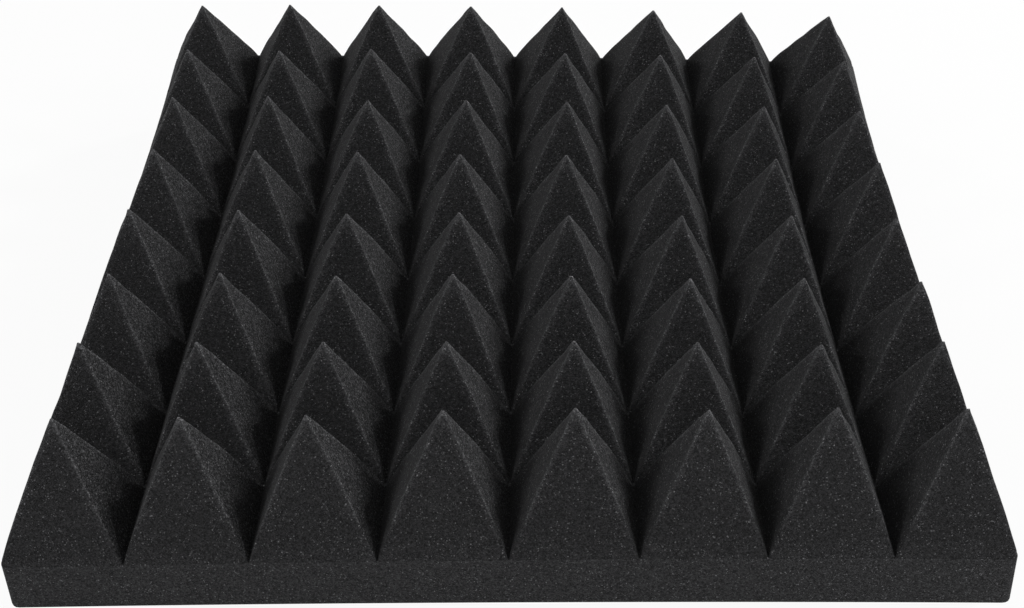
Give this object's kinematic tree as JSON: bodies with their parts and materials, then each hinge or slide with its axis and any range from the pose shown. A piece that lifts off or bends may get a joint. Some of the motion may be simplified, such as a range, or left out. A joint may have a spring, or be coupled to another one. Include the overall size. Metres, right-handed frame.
{
  "type": "acoustic foam panel",
  "caption": "Square charcoal acoustic foam panel: a flat-backed base slab with a face of square pyramids cut by crossing V-shaped grooves.",
  "frame": {"origin": "centre of the flat back of the panel, which lies on the surface that carries it", "axes": "+Z out of the flat back, towards the tips of the pyramids; +X to the right along the front edge; +Y from the front edge to the rear edge; row 1 is the front row"},
  "size_m": [0.5, 0.5, 0.1],
  "materials": {
    "foam": "matte"
  },
  "bodies": {
    "root": {"base_slab": "foam", "pyramid_row_1": "foam", "pyramid_row_2": "foam", "pyramid_row_3": "foam", "pyramid_row_4": "foam", "pyramid_row_5": "foam", "pyramid_row_6": "foam", "pyramid_row_7": "foam", "pyramid_row_8": "foam"}
  },
  "joints": []
}
